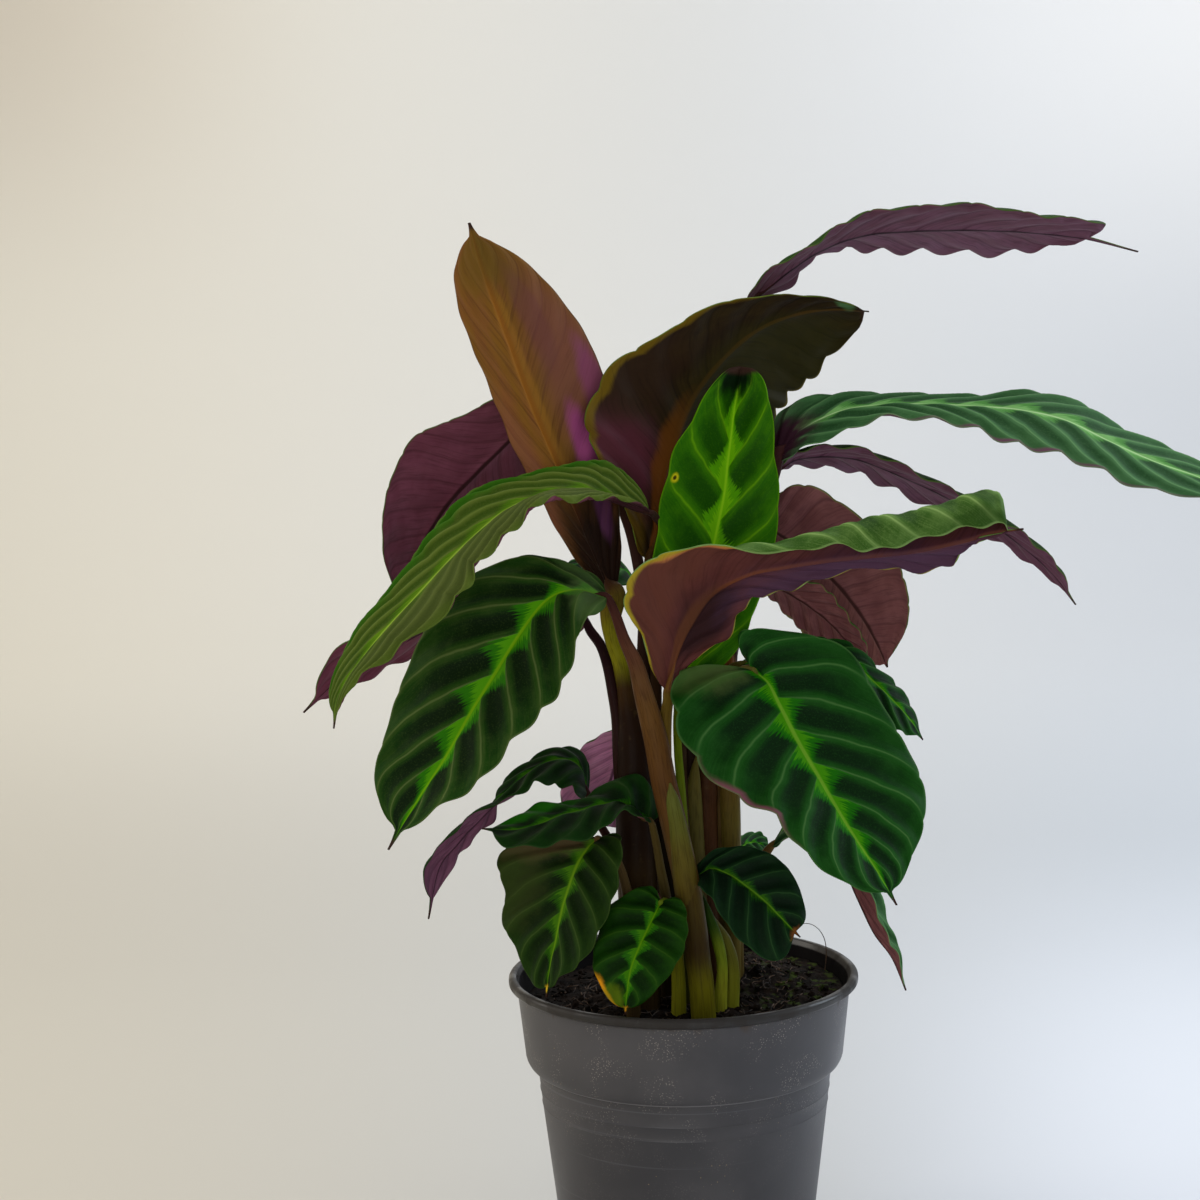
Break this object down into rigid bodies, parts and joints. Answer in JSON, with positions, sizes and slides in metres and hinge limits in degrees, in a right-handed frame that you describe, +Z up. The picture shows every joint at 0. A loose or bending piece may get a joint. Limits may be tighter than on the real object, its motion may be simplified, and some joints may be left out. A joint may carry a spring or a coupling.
{
  "type": "potted plant",
  "caption": "Leafy calathea on upright stems in a round tapered nursery pot: waved, feather-marked green blades, purple underneath.",
  "frame": {"origin": "middle of the pot's foot, on the surface that it stands on", "axes": "+Z up along the pot's axis, -Y towards the side that the picture shows, +X to the right in it"},
  "size_m": [0.4546, 0.2019, 0.5175],
  "materials": {
    "pot": "satin",
    "soil": "matte",
    "stem": "satin",
    "leaf_green": "satin",
    "leaf_purple": "satin"
  },
  "bodies": {
    "root": {"pot": "pot", "soil": "soil", "shoot_front": "stem", "shoot_left": "stem", "shoot_centre": "stem", "shoot_right": "stem", "shoot_low_right": "stem", "shoot_low_centre": "stem", "shoot_low_left": "stem", "leaf_upright_left": "leaf_purple", "leaf_top_centre": "leaf_purple", "leaf_bright_centre": "leaf_green", "leaf_front_rolled": "leaf_purple", "leaf_arched_left": "leaf_green", "leaf_front_left": "leaf_green", "leaf_back_left": "leaf_purple", "leaf_purple_left": "leaf_purple", "leaf_top_right": "leaf_purple", "leaf_arched_right": "leaf_green", "leaf_drooping_right": "leaf_purple", "leaf_back_right": "leaf_purple", "leaf_narrow_back_right": "leaf_purple", "leaf_front_right": "leaf_green", "leaf_middle_right": "leaf_green", "leaf_small_right": "leaf_green", "leaf_small_centre": "leaf_green", "leaf_small_left": "leaf_green", "leaf_middle_left": "leaf_green", "leaf_thin_left": "leaf_purple", "leaf_low_back_left": "leaf_purple", "leaf_tiny_back": "leaf_green", "leaf_hanging_right": "leaf_purple", "leaf_small_back": "leaf_green"}
  },
  "joints": []
}
